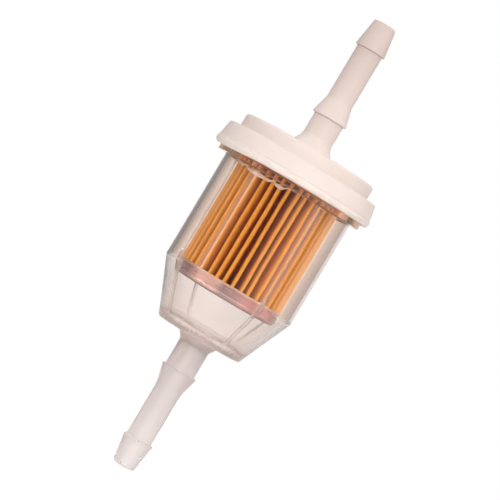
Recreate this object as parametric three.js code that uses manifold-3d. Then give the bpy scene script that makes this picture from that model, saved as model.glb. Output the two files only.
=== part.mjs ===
// Small inline fuel filter: a clear bowl with a stepped hose spigot, an ivory cap with another,
// spin-welded together round a pleated paper element.
// Millimetres. +Z runs up the axis, from the end of the bowl's spigot (z = 0) to the end of the cap's.
import * as THREE from 'three';
import { mergeVertices } from 'three/addons/utils/BufferGeometryUtils.js';
import Module from 'manifold-3d';

const wasm = await Module();
wasm.setup();

// ---------------------------------------------------------------- driving dimensions
const OVERALL_LENGTH = 113.8;
const ROUND_SEGMENTS = 48;
const BORE_RADIUS = 1.5;
const BORE_SEGMENTS = 16;

const SPIGOT = {
  endRadius: 2.65,
  endRound: 0.35,
  tipBarbRadius: 3.65,
  slimShankRadius: 3.12,
  middleBarbRadius: 4.2,
  wideShankRadius: 3.62,
};

const BOWL = {
  bottomZ: 32.7,
  bottomRadius: 10.3,
  edgeRound: 0.45,
  bendZ: 45.6,
  radius: 15.95,
  wall: 0.95,
  coneWall: 1.4,
  floor: 1.2,
  flangeRadius: 18.0,
  flangeBottomZ: 71.45,
  flangeTopZ: 74.6,
};

const RIB = {
  count: 4,
  firstAngle: 33.3,
  thickness: 0.7,
  ridgeHeight: 0.25,
  topZ: 71.0,
  shoulderZ: 49.0,
  footDepth: 0.4,
};

const CAP = {
  skirtBottomZ: 74.4,
  skirtRadius: 19.35,
  skirtTopRadius: 18.7,
  rimTopZ: 78.1,
  discRadius: 16.3,
  discTopZ: 81.35,
  discRound: 0.55,
  undersideZ: 75.2,
  collarInnerRadius: 13.3,
  collarOuterRadius: 14.4,
  collarBottomZ: 73.4,
};

const WELD_BEAD = { innerRadius: 18.2, radius: 19.75, bottomZ: 72.75 };

const PLEATS = {
  count: 38,
  phase: 6.83,
  tipRadius: 12.15,
  rootRadius: 7.7,
  paper: 0.4,
  fold: 0.22,
  bottomZ: 45.2,
  topZ: 71.7,
};

const END_CUP = { radius: 12.9, wall: 0.3, floor: 0.4, bottomZ: 43.3, topZ: 46.7 };
const UPPER_POTTING = { innerRadius: 6.4, radius: 13.0 };
const CENTRE_TUBE = { radius: 7.0, wall: 0.6, holeRadius: 1.3, rows: 5, perRow: 6 };
const SEAM = { thickness: 0.36, innerRadius: 9.9, outerRadius: 11.5 };

// ---------------------------------------------------------------- helpers
const degrees = THREE.MathUtils.degToRad;

/** Turns a profile of [radius, height] points, listed anticlockwise, into a ring about Z. */
function revolve(profile, segments = ROUND_SEGMENTS) {
  const points = profile.map(([radius, height]) => new THREE.Vector2(radius, height));
  points.push(points[0].clone());
  return new THREE.LatheGeometry(points, segments).rotateX(Math.PI / 2);
}

/** A plain round bar along Z between two heights. */
function bar(radius, bottom, top, segments = BORE_SEGMENTS) {
  const geometry = new THREE.CylinderGeometry(radius, radius, top - bottom, segments);
  return geometry.rotateX(Math.PI / 2).translate(0, 0, (top + bottom) / 2);
}

/** Makes a closed geometry a manifold solid. */
function solid(geometry) {
  const bare = geometry.clone();
  bare.deleteAttribute('normal');
  bare.deleteAttribute('uv');
  const welded = mergeVertices(bare, 1e-4);
  const vertProperties = new Float32Array(welded.attributes.position.array);
  const triVerts = new Uint32Array(welded.index.array);
  return new wasm.Manifold(new wasm.Mesh({ numProp: 3, vertProperties, triVerts }));
}

/** Gives a manifold solid back as a geometry. */
function geometryOf(manifold) {
  const mesh = manifold.getMesh();
  const geometry = new THREE.BufferGeometry();
  geometry.setAttribute('position', new THREE.BufferAttribute(mesh.vertProperties, 3));
  geometry.setIndex(new THREE.BufferAttribute(mesh.triVerts, 1));
  geometry.computeVertexNormals();
  return geometry;
}

/** Points of a quarter round from one direction to another, both in degrees. */
function roundCorner(radius, height, size, from, to, steps = 3) {
  const points = [];
  for (let step = 0; step <= steps; step += 1) {
    const angle = degrees(from + ((to - from) * step) / steps);
    points.push([radius + size * Math.cos(angle), height + size * Math.sin(angle)]);
  }
  return points;
}

const filter = new THREE.Group();

/** Adds one named piece to the filter. */
function piece(name, geometry, color, roughness, metalness = 0, opacity = 1) {
  const transparent = opacity < 1;
  const material = new THREE.MeshStandardMaterial({ color, roughness, metalness, opacity, transparent });
  const mesh = new THREE.Mesh(geometry, material);
  mesh.name = name;
  filter.add(mesh);
}

// ---------------------------------------------------------------- stepped hose spigots
/** Outside of the bowl's spigot, from its end up to the bowl's flat bottom. */
function inletSpigotOutline() {
  return [
    ...roundCorner(SPIGOT.endRadius - SPIGOT.endRound, SPIGOT.endRound, SPIGOT.endRound, -90, 0, 2),
    [SPIGOT.tipBarbRadius - 0.05, 6.45],
    [SPIGOT.tipBarbRadius, 6.7],
    [SPIGOT.slimShankRadius, 6.95],
    [SPIGOT.slimShankRadius, 20.6],
    [SPIGOT.slimShankRadius + 0.35, 21.6],
    [SPIGOT.middleBarbRadius - 0.05, 23.9],
    [SPIGOT.middleBarbRadius, 24.4],
    [SPIGOT.wideShankRadius, 24.65],
    [SPIGOT.wideShankRadius, 30.7],
    [SPIGOT.wideShankRadius + 0.3, 31.3],
    [SPIGOT.wideShankRadius + 1.35, BOWL.bottomZ],
  ];
}

/** Outside of the cap's spigot, from the disc's top face up to its end. */
function outletSpigotOutline() {
  const end = OVERALL_LENGTH - SPIGOT.endRound;
  return [
    [SPIGOT.wideShankRadius + 1.3, CAP.discTopZ],
    [SPIGOT.wideShankRadius + 0.75, 82.0],
    [SPIGOT.wideShankRadius + 0.3, 82.8],
    [SPIGOT.wideShankRadius, 84.0],
    [SPIGOT.wideShankRadius, 89.05],
    [SPIGOT.middleBarbRadius, 89.3],
    [SPIGOT.middleBarbRadius - 0.05, 89.8],
    [SPIGOT.slimShankRadius + 0.35, 92.4],
    [SPIGOT.slimShankRadius, 94.2],
    [SPIGOT.slimShankRadius, 106.85],
    [SPIGOT.tipBarbRadius, 107.1],
    [SPIGOT.tipBarbRadius - 0.05, 107.35],
    ...roundCorner(SPIGOT.endRadius - SPIGOT.endRound, end, SPIGOT.endRound, 0, 90, 2),
  ];
}

// ---------------------------------------------------------------- bowl
/** One locating rib, standing in from the wall, as a slab in the plane of the axis. */
function rib(angle) {
  const wallInside = BOWL.radius - BOWL.wall;
  const floorZ = BOWL.bottomZ + BOWL.floor;
  const footRadius = BOWL.bottomRadius - BOWL.coneWall;
  const inWall = 0.4;
  const outline = new THREE.Shape();
  outline.moveTo(footRadius + inWall, floorZ - inWall);
  outline.lineTo(BOWL.radius - BOWL.coneWall + inWall, BOWL.bendZ);
  outline.lineTo(wallInside + inWall, BOWL.bendZ + 1);
  outline.lineTo(wallInside + inWall, RIB.topZ);
  outline.lineTo(wallInside - RIB.ridgeHeight, RIB.topZ);
  outline.lineTo(wallInside - RIB.ridgeHeight, RIB.shoulderZ);
  outline.lineTo(END_CUP.radius + 0.25, END_CUP.bottomZ);
  outline.lineTo(footRadius - RIB.footDepth, floorZ - inWall);
  const slab = new THREE.ExtrudeGeometry(outline, { depth: RIB.thickness, bevelEnabled: false });
  slab.translate(0, 0, -RIB.thickness / 2).rotateX(Math.PI / 2).rotateZ(degrees(angle));
  return solid(slab);
}

function bowl() {
  const floorZ = BOWL.bottomZ + BOWL.floor;
  const wallInside = BOWL.radius - BOWL.wall;
  const footRadius = BOWL.bottomRadius - BOWL.coneWall;
  const profile = [
    [BORE_RADIUS, 0],
    ...inletSpigotOutline(),
    ...roundCorner(BOWL.bottomRadius - BOWL.edgeRound, BOWL.bottomZ + BOWL.edgeRound, BOWL.edgeRound, -90, -20),
    [BOWL.radius - 0.3, BOWL.bendZ - 0.2],
    [BOWL.radius - 0.08, BOWL.bendZ + 0.15],
    [BOWL.radius, BOWL.bendZ + 0.6],
    [BOWL.radius, BOWL.flangeBottomZ],
    [BOWL.flangeRadius, BOWL.flangeBottomZ],
    [BOWL.flangeRadius, BOWL.flangeTopZ],
    [wallInside, BOWL.flangeTopZ],
    [wallInside, BOWL.bendZ + 1.2],
    [BOWL.radius - BOWL.coneWall - 0.05, BOWL.bendZ - 0.1],
    [footRadius + 0.6, floorZ + 0.4],
    [footRadius, floorZ],
    [BORE_RADIUS + 1.2, floorZ],
    [BORE_RADIUS, floorZ - 0.6],
  ];
  let body = solid(revolve(profile));
  for (let index = 0; index < RIB.count; index += 1) {
    body = body.add(rib(RIB.firstAngle + (360 / RIB.count) * index));
  }
  return geometryOf(body);
}

// ---------------------------------------------------------------- cap and its weld
function cap() {
  return revolve([
    [BORE_RADIUS, CAP.undersideZ],
    [CAP.collarInnerRadius, CAP.undersideZ],
    [CAP.collarInnerRadius, CAP.collarBottomZ],
    [CAP.collarOuterRadius, CAP.collarBottomZ],
    [CAP.collarOuterRadius, BOWL.flangeTopZ],
    [BOWL.flangeRadius + 0.2, BOWL.flangeTopZ],
    [BOWL.flangeRadius + 0.2, CAP.skirtBottomZ],
    [CAP.skirtRadius, CAP.skirtBottomZ],
    [CAP.skirtTopRadius, CAP.rimTopZ - 0.3],
    [CAP.skirtTopRadius - 0.3, CAP.rimTopZ],
    [CAP.discRadius, CAP.rimTopZ],
    ...roundCorner(CAP.discRadius - CAP.discRound, CAP.discTopZ - CAP.discRound, CAP.discRound, 0, 90),
    ...outletSpigotOutline(),
    [BORE_RADIUS, OVERALL_LENGTH],
  ]);
}

function weldBead() {
  return revolve([
    [WELD_BEAD.innerRadius, WELD_BEAD.bottomZ],
    [WELD_BEAD.radius - 0.35, WELD_BEAD.bottomZ],
    [WELD_BEAD.radius, WELD_BEAD.bottomZ + 0.35],
    [WELD_BEAD.radius, CAP.skirtBottomZ - 0.5],
    [CAP.skirtRadius, CAP.skirtBottomZ],
    [WELD_BEAD.innerRadius, CAP.skirtBottomZ],
  ]);
}

// ---------------------------------------------------------------- paper element
/** One face of the folded paper, as a closed loop that stands off its middle by `offset`. */
function pleatLoop(offset) {
  const step = (2 * Math.PI) / PLEATS.count;
  const apart = Math.hypot(
    PLEATS.tipRadius - PLEATS.rootRadius * Math.cos(step / 2),
    PLEATS.rootRadius * Math.sin(step / 2),
  );
  const lean = Math.atan2(
    PLEATS.rootRadius * Math.sin(step / 2),
    PLEATS.tipRadius - PLEATS.rootRadius * Math.cos(step / 2),
  );
  const flank = Math.PI / 2 - lean + Math.asin((2 * PLEATS.fold) / apart);
  const points = [];
  const arc = (centreRadius, centreAngle, radius, from, to, steps) => {
    for (let index = 0; index <= steps; index += 1) {
      const direction = centreAngle + from + ((to - from) * index) / steps;
      points.push(new THREE.Vector2(
        centreRadius * Math.cos(centreAngle) + radius * Math.cos(direction),
        centreRadius * Math.sin(centreAngle) + radius * Math.sin(direction),
      ));
    }
  };
  for (let pleat = 0; pleat < PLEATS.count; pleat += 1) {
    const tip = degrees(PLEATS.phase) + pleat * step;
    const rootTurn = flank - step / 2;
    arc(PLEATS.tipRadius, tip, PLEATS.fold + offset, -flank, flank, 4);
    arc(PLEATS.rootRadius, tip + step / 2, PLEATS.fold - offset, Math.PI + rootTurn, Math.PI - rootTurn, 2);
  }
  return points;
}

function filterPaper() {
  const sheet = new THREE.Shape(pleatLoop(PLEATS.paper / 2));
  sheet.holes.push(new THREE.Path(pleatLoop(-PLEATS.paper / 2)));
  const depth = PLEATS.topZ - PLEATS.bottomZ;
  return new THREE.ExtrudeGeometry(sheet, { depth, bevelEnabled: false }).translate(0, 0, PLEATS.bottomZ);
}

/** The glue line that joins the paper's two ends, in a valley at the back of the element. */
function paperSeam() {
  const step = 360 / PLEATS.count;
  const valley = PLEATS.phase + step * (Math.round((90 - PLEATS.phase) / step) + 0.5);
  const width = SEAM.outerRadius - SEAM.innerRadius;
  const height = PLEATS.topZ - PLEATS.bottomZ;
  const strip = new THREE.BoxGeometry(width, SEAM.thickness, height);
  strip.translate(SEAM.innerRadius + width / 2, 0, PLEATS.bottomZ + height / 2);
  return strip.rotateZ(degrees(valley));
}

function lowerEndCup() {
  const inside = END_CUP.radius - END_CUP.wall;
  return revolve([
    [0, END_CUP.bottomZ],
    [END_CUP.radius - 0.4, END_CUP.bottomZ],
    [END_CUP.radius, END_CUP.bottomZ + 0.4],
    [END_CUP.radius, END_CUP.topZ],
    [inside, END_CUP.topZ],
    [inside, END_CUP.bottomZ + END_CUP.floor],
    [0, END_CUP.bottomZ + END_CUP.floor],
  ]);
}

function lowerPotting() {
  return bar(END_CUP.radius - END_CUP.wall, END_CUP.bottomZ + END_CUP.floor, PLEATS.bottomZ, ROUND_SEGMENTS);
}

function upperPotting() {
  return revolve([
    [UPPER_POTTING.innerRadius, PLEATS.topZ],
    [UPPER_POTTING.radius, PLEATS.topZ],
    [UPPER_POTTING.radius, CAP.undersideZ],
    [UPPER_POTTING.innerRadius, CAP.undersideZ],
  ]);
}

/** The perforated tube that the pleats close on, which keeps them from being drawn inwards. */
function centreTube() {
  const { radius, wall, holeRadius, rows, perRow } = CENTRE_TUBE;
  let tube = solid(revolve([
    [radius - wall, PLEATS.bottomZ],
    [radius, PLEATS.bottomZ],
    [radius, PLEATS.topZ],
    [radius - wall, PLEATS.topZ],
  ]));
  const pitch = (PLEATS.topZ - PLEATS.bottomZ) / rows;
  for (let row = 0; row < rows; row += 1) {
    for (let hole = 0; hole < perRow; hole += 1) {
      const drill = new THREE.CylinderGeometry(holeRadius, holeRadius, 2 * wall + 2, 10);
      drill.translate(0, radius - wall / 2, 0);
      drill.rotateZ(degrees((360 / perRow) * (hole + (row % 2) / 2)));
      drill.translate(0, 0, PLEATS.bottomZ + pitch * (row + 0.5));
      tube = tube.subtract(solid(drill));
    }
  }
  return geometryOf(tube);
}

// ---------------------------------------------------------------- the filter
piece('bowl', bowl(), 0xe9e2de, 0.08, 0, 0.35);
piece('cap', cap(), 0xefe4dc, 0.45);
piece('weld_bead', weldBead(), 0xe8dcd2, 0.5);
piece('filter_paper', filterPaper(), 0xe39a48, 0.85);
piece('paper_seam', paperSeam(), 0xd9c9a8, 0.5);
piece('lower_end_cup', lowerEndCup(), 0xc9a7a2, 0.3, 1);
piece('lower_potting', lowerPotting(), 0xe8dcc8, 0.5);
piece('upper_potting', upperPotting(), 0xf0e6dc, 0.5);
piece('centre_tube', centreTube(), 0xd8d4cc, 0.5);

export default filter;
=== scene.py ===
"""Looks of a small inline fuel filter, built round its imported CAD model.

A clear bowl and an ivory cap, each with a stepped hose barb, are welded together round a pleated paper
element. Each sub-assembly is a class, with its sizes in millimetres as fields, that turns, folds or presses
its own pieces and dresses them in its finishes.
"""

import cmath
import logging
import math
import random
from collections.abc import Callable, Iterator, Sequence
from contextlib import contextmanager
from dataclasses import dataclass, field
from enum import Enum

import bpy
from mathutils import Matrix, Vector


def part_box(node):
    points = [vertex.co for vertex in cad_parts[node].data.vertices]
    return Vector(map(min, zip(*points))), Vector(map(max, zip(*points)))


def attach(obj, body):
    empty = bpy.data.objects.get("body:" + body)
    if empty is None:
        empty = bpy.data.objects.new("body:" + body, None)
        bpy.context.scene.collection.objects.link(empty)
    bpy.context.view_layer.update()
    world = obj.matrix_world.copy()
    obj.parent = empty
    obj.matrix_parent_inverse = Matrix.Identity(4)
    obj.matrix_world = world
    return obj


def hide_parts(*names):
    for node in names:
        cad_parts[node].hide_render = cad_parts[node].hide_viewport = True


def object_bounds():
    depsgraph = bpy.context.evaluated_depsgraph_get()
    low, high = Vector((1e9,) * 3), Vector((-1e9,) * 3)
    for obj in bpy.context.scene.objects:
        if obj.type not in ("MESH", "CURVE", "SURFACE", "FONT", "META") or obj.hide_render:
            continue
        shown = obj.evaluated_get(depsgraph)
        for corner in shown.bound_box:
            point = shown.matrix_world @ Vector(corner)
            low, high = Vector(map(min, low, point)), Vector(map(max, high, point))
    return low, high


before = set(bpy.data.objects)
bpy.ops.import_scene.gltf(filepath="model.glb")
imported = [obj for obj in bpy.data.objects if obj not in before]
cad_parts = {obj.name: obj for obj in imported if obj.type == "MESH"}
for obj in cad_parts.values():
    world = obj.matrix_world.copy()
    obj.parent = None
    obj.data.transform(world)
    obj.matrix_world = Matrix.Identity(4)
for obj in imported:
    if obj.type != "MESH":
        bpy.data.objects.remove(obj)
CAD_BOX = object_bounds()

MM = 0.001
BODY = "root"
MERGE_DISTANCE = 0.002 * MM
FULL_TURN = 2 * math.pi
LOG = logging.getLogger("fuel_filter")

Colour = tuple[float, float, float, float]
Triple = tuple[float, float, float]
Section = list[complex]
Move = Callable[[float, float, float], Triple]

WHITE: Colour = (1, 1, 1, 1)
BLACK: Colour = (0, 0, 0, 1)


def grey(level: float) -> Colour:
    """A grey of this level."""
    return (level, level, level, 1)


class Slot(Enum):
    """The record's material slots."""

    CLEAR = "clear_nylon"
    IVORY = "ivory_nylon"
    WELD = "welded_nylon"
    PAPER = "filter_paper"
    ADHESIVE = "adhesive"
    STEEL = "passivated_steel"
    TUBE = "tube_plastic"


# ------------------------------------------------------------------------------------------------
# Shader maths
# ------------------------------------------------------------------------------------------------


class Value:
    """A number that comes out of a socket, which can be summed, scaled and compared."""

    def __init__(self, graph: "Graph", socket: bpy.types.NodeSocket) -> None:
        """Wraps a socket of a graph."""
        self.graph = graph
        self.socket = socket

    def _math(self, operation: str, first: "Value | float", second: "Value | float") -> "Value":
        """Adds one Math node and returns its result."""
        made = self.graph.node("ShaderNodeMath", {"operation": operation}, {0: first, 1: second})
        return Value(self.graph, made.outputs[0])

    def __add__(self, other: "Value | float") -> "Value":
        """Sum."""
        return self._math("ADD", self, other)

    __radd__ = __add__

    def __sub__(self, other: "Value | float") -> "Value":
        """Difference."""
        return self._math("SUBTRACT", self, other)

    def __rsub__(self, other: float) -> "Value":
        """Difference from a number."""
        return self._math("SUBTRACT", other, self)

    def __mul__(self, other: "Value | float") -> "Value":
        """Product."""
        return self._math("MULTIPLY", self, other)

    __rmul__ = __mul__

    def above(self, limit: float) -> "Value":
        """One where the number is over the limit, else nought."""
        return self._math("GREATER_THAN", self, limit)

    def between(self, low: float, high: float) -> "Value":
        """Rises from nought at the low limit to one at the high one."""
        sockets = {"Value": self, "From Min": low, "From Max": high}
        return Value(self.graph, self.graph.node("ShaderNodeMapRange", None, sockets).outputs[0])

    def bearing(self, other: "Value") -> "Value":
        """Direction of the pair, in turns from the second number's axis, with that axis at a half."""
        return self._math("ARCTAN2", self, other) * (1 / FULL_TURN) + 0.5


class Graph:
    """The node tree of one material or world."""

    def __init__(self, owner: bpy.types.ID) -> None:
        """Empties the owner's node tree.

        Args:
            owner: The material or world.
        """
        self.owner = owner
        owner.use_nodes = True
        self.tree = owner.node_tree
        self.tree.nodes.clear()

    def node(
        self, kind: str, settings: dict[str, object] | None = None, sockets: dict | None = None
    ) -> bpy.types.Node:
        """Adds a node.

        Args:
            kind: The node's type.
            settings: Its properties, set first; "stops" are a ramp's positions and colours.
            sockets: The values or links of its input sockets, by name or number.

        Returns:
            The new node.
        """
        made = self.tree.nodes.new(kind)
        for key, value in (settings or {}).items():
            if key == "stops":
                self._set_stops(made.color_ramp, value)
            else:
                setattr(made, key, value)
        for key, value in (sockets or {}).items():
            source = value.socket if isinstance(value, Value) else value
            if isinstance(source, bpy.types.NodeSocket):
                self.tree.links.new(source, made.inputs[key])
            else:
                made.inputs[key].default_value = source
        return made

    @staticmethod
    def _set_stops(ramp: bpy.types.ColorRamp, stops: Sequence[tuple[float, Colour]]) -> None:
        """Gives a colour ramp exactly these stops.

        Args:
            ramp: The ramp.
            stops: Each stop's position, from nought to one, and its colour.
        """
        while len(ramp.elements) > 1:
            ramp.elements.remove(ramp.elements[-1])
        ramp.elements[0].position, ramp.elements[0].color = stops[0]
        for position, colour in stops[1:]:
            ramp.elements.new(position).color = colour

    def place(self, stretch: Triple = (1, 1, 1)) -> bpy.types.NodeSocket:
        """Object coordinates, in millimetres.

        Args:
            stretch: What they are multiplied by along each axis.

        Returns:
            The socket that they come out of.
        """
        coords = self.node("ShaderNodeTexCoord").outputs["Object"]
        scale = tuple(factor / MM for factor in stretch)
        return self.node("ShaderNodeMapping", None, {"Vector": coords, "Scale": scale}).outputs[0]

    def noise(self, size: float, detail: float = 2.0, stretch: Triple = (1, 1, 1)) -> Value:
        """Soft noise about 0.5.

        Args:
            size: Size of its features, in millimetres.
            detail: How many finer layers lie over it.
            stretch: How many times closer its features stand along each axis.

        Returns:
            The noise.
        """
        made = self.node(
            "ShaderNodeTexNoise",
            None,
            {"Vector": self.place(stretch), "Scale": 1 / size, "Detail": detail},
        )
        return Value(self, made.outputs["Fac"])

    def axes(self, vector: bpy.types.NodeSocket | None = None) -> list[Value]:
        """The three parts of a vector, or of the object coordinates in millimetres."""
        split = self.node("ShaderNodeSeparateXYZ", None, {0: vector or self.place()})
        return [Value(self, socket) for socket in split.outputs]

    def height(self) -> Value:
        """Distance along the filter's axis, in millimetres."""
        return self.axes()[2]

    def reach(self) -> Value:
        """Distance from the filter's axis, in millimetres."""
        flat = self.node("ShaderNodeVectorMath", {"operation": "LENGTH"}, {0: self.place((1, 1, 0))})
        return Value(self, flat.outputs["Value"])

    def ramp(self, factor: Value, stops: Sequence[tuple[float, Colour]]) -> bpy.types.NodeSocket:
        """Colour looked up along a ramp."""
        return self.node("ShaderNodeValToRGB", {"stops": stops}, {"Fac": factor}).outputs["Color"]

    def between(
        self, factor: Value, low: "Colour | bpy.types.NodeSocket", high: "Colour | bpy.types.NodeSocket"
    ) -> bpy.types.NodeSocket:
        """Mixes two colours."""
        made = self.node("ShaderNodeMix", {"data_type": "RGBA"}, {0: factor, 6: low, 7: high})
        return made.outputs[2]

    def bump(self, relief: Value, depth: float) -> bpy.types.NodeSocket:
        """Normal of a relief that is this deep, in millimetres."""
        made = self.node("ShaderNodeBump", None, {"Height": relief, "Distance": depth * MM, "Strength": 1.0})
        return made.outputs["Normal"]

    def shader(self, **sockets: object) -> bpy.types.NodeSocket:
        """Adds a Principled shader; underscores in its sockets' names stand for spaces."""
        named = {key.replace("_", " "): value for key, value in sockets.items()}
        return self.node("ShaderNodeBsdfPrincipled", None, named).outputs[0]

    def finish(self, shader: bpy.types.NodeSocket, **inside: bpy.types.NodeSocket) -> bpy.types.Material:
        """Closes the graph of a material with a shader, and its Volume too where that is given."""
        self.node("ShaderNodeOutputMaterial", None, {"Surface": shader, **inside})
        return self.owner

    def surface(self, **sockets: object) -> bpy.types.Material:
        """Closes the graph of a material with one Principled shader."""
        return self.finish(self.shader(**sockets))


# ------------------------------------------------------------------------------------------------
# Finishes
# ------------------------------------------------------------------------------------------------


@dataclass(frozen=True)
class ClearNylon:
    """Clear moulded nylon: clear where it is thin, milky where it is thick, with faint flow ripples and
    painted amber light from the paper at the flange.
    """

    spigot_tint: Colour = (0.98, 0.955, 0.95, 1)
    thick_tint: Colour = (1.0, 0.965, 0.945, 1)
    thin_tint: Colour = (1.0, 0.905, 0.845, 1)
    # flange_paper_light is painted light: an amber tint standing in for the paper's light coming through the
    # flange.
    flange_paper_light: Colour = (0.97, 0.74, 0.53, 1)
    spigot_milk: Colour = (0.88, 0.85, 0.86, 1)
    milk: Colour = (0.96, 0.87, 0.82, 1)
    index: float = 1.53
    depths: Colour = (0.84, 0.52, 0.36, 1)
    density: float = 90.0
    rib_milk: float = 0.3
    rib_inset: float = 0.15
    rib_rise: float = 0.6
    ripple_size: float = 5.0
    ripple_depth: float = 0.014
    cloud_size: float = 9.0
    cloud_roughness: float = 0.35
    frost_size: float = 2.5
    milk_span: tuple[float, float] = (30.0, 35.0)
    ramp_height: float = 80.0
    tints: tuple[tuple[float, str], ...] = (
        (30, "spigot_tint"),
        (35, "thick_tint"),
        (44, "thick_tint"),
        (48, "thin_tint"),
        (70.8, "thin_tint"),
        (71.6, "flange_paper_light"),
    )
    milkiness: tuple[tuple[float, float], ...] = (
        (0, 0.32),
        (29, 0.32),
        (32.7, 0.26),
        (34.5, 0.1),
        (36.5, 0.05),
        (39, 0.04),
        (43, 0.03),
        (46, 0.006),
        (71, 0.006),
        (72, 0.04),
    )
    frosting: tuple[tuple[float, float], ...] = ((0, 0.3), (29, 0.36), (33, 0.34), (36, 0.12), (46, 0.02))

    def by_height(self, graph: Graph, stops: Sequence[tuple[float, float]]) -> Value:
        """A number that changes with the height."""
        levels = [(height / self.ramp_height, grey(level)) for height, level in stops]
        return Value(graph, graph.ramp(graph.height() * (1 / self.ramp_height), levels))

    def ribs(self, graph: Graph, low: complex, high: complex) -> Value:
        """One on the ribs, which stand inside the wall's inner line, else nought.

        Args:
            graph: The material's graph.
            low: Radius and height of the foot's inside at the floor, in millimetres.
            high: Radius and height of its inside at the bend.

        Returns:
            The mask.
        """
        height = graph.height()
        inner = low.real + (high.real - low.real) * height.between(low.imag, high.imag)
        return (inner - graph.reach()).above(self.rib_inset) * height.above(low.imag + self.rib_rise)

    def make(self, low: complex, high: complex) -> bpy.types.Material:
        """Builds the material.

        Args:
            low: Radius and height of the foot's inside at the floor, in millimetres.
            high: Radius and height of its inside at the bend.

        Returns:
            The material.
        """
        graph = Graph(bpy.data.materials.new("clear_nylon"))
        relief = graph.bump(graph.noise(self.ripple_size, 1.0, (1, 1, 0.25)), self.ripple_depth)
        tints = [(height / self.ramp_height, getattr(self, tint)) for height, tint in self.tints]
        frost = self.by_height(graph, self.frosting)
        clear = graph.shader(
            Base_Color=graph.ramp(graph.height() * (1 / self.ramp_height), tints),
            Transmission_Weight=1.0,
            IOR=self.index,
            Roughness=frost * (0.6 + 0.8 * graph.noise(self.frost_size, 3.0)),
            Normal=relief,
        )
        milk = graph.between(graph.height().between(*self.milk_span), self.spigot_milk, self.milk)
        milky = graph.shader(
            Base_Color=milk,
            Roughness=self.cloud_roughness,
            IOR=self.index,
            Normal=relief,
        )
        cloud = self.by_height(graph, self.milkiness)
        cloud = cloud * (0.5 + graph.noise(self.cloud_size, 2.0, (1, 1, 0.4)))
        cloud = cloud + self.rib_milk * self.ribs(graph, low, high)
        mixed = graph.node("ShaderNodeMixShader", None, {0: cloud, 1: clear, 2: milky})
        inside = {"Color": self.depths, "Density": self.density}
        depth = graph.node("ShaderNodeVolumeAbsorption", None, inside)
        return graph.finish(mixed.outputs[0], Volume=depth.outputs[0])


@dataclass(frozen=True)
class IvoryNylon:
    """Opaque ivory nylon, satin, faintly mottled and slightly translucent, with painted shade that darkens
    it towards the barb.
    """

    pale: Colour = (0.68, 0.592, 0.55, 1)
    deep: Colour = (0.64, 0.55, 0.508, 1)
    # barb is a painted shade colour: the cap darkens towards the barb, where less light reaches it.
    barb: Colour = (0.53, 0.435, 0.395, 1)
    barb_shade_span: tuple[float, float] = (84.0, 108.0)
    mottle_size: float = 4.0
    grain_size: float = 0.25
    translucency: float = 0.25
    scatter: Triple = (1.0, 0.6, 0.4)
    scatter_depth: float = 0.8
    relief: float = 0.012

    def make(self) -> bpy.types.Material:
        """Builds the material.

        Returns:
            The material.
        """
        graph = Graph(bpy.data.materials.new("ivory_nylon"))
        mottle = graph.noise(self.mottle_size, 3.0)
        grain = graph.noise(self.grain_size, 2.0)
        moulded = graph.between(mottle, self.pale, self.deep)
        return graph.surface(
            # Painted shade, darker towards the barb's end.
            Base_Color=graph.between(graph.height().between(*self.barb_shade_span), moulded, self.barb),
            Roughness=0.36 + 0.16 * mottle,
            Subsurface_Weight=self.translucency,
            Subsurface_Radius=self.scatter,
            Subsurface_Scale=self.scatter_depth * MM,
            Normal=graph.bump(grain + 2.0 * mottle, self.relief),
        )


@dataclass(frozen=True)
class WeldedNylon:
    """Nylon that has melted and set again: glossier, with drawn-out streaks."""

    pale: Colour = (0.72, 0.625, 0.575, 1)
    scorched: Colour = (0.6, 0.49, 0.42, 1)
    streak_size: float = 1.2
    translucency: float = 0.2
    scatter: Triple = (1.0, 0.6, 0.4)
    scatter_depth: float = 0.6
    relief: float = 0.08

    def make(self) -> bpy.types.Material:
        """Builds the material.

        Returns:
            The material.
        """
        graph = Graph(bpy.data.materials.new("welded_nylon"))
        streak = graph.noise(self.streak_size, 3.0, (0.6, 0.6, 4))
        return graph.surface(
            Base_Color=graph.ramp(streak, [(0.45, self.pale), (0.85, self.scorched)]),
            Roughness=0.25 + 0.3 * streak,
            Subsurface_Weight=self.translucency,
            Subsurface_Radius=self.scatter,
            Subsurface_Scale=self.scatter_depth * MM,
            Normal=graph.bump(streak, self.relief),
        )


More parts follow.
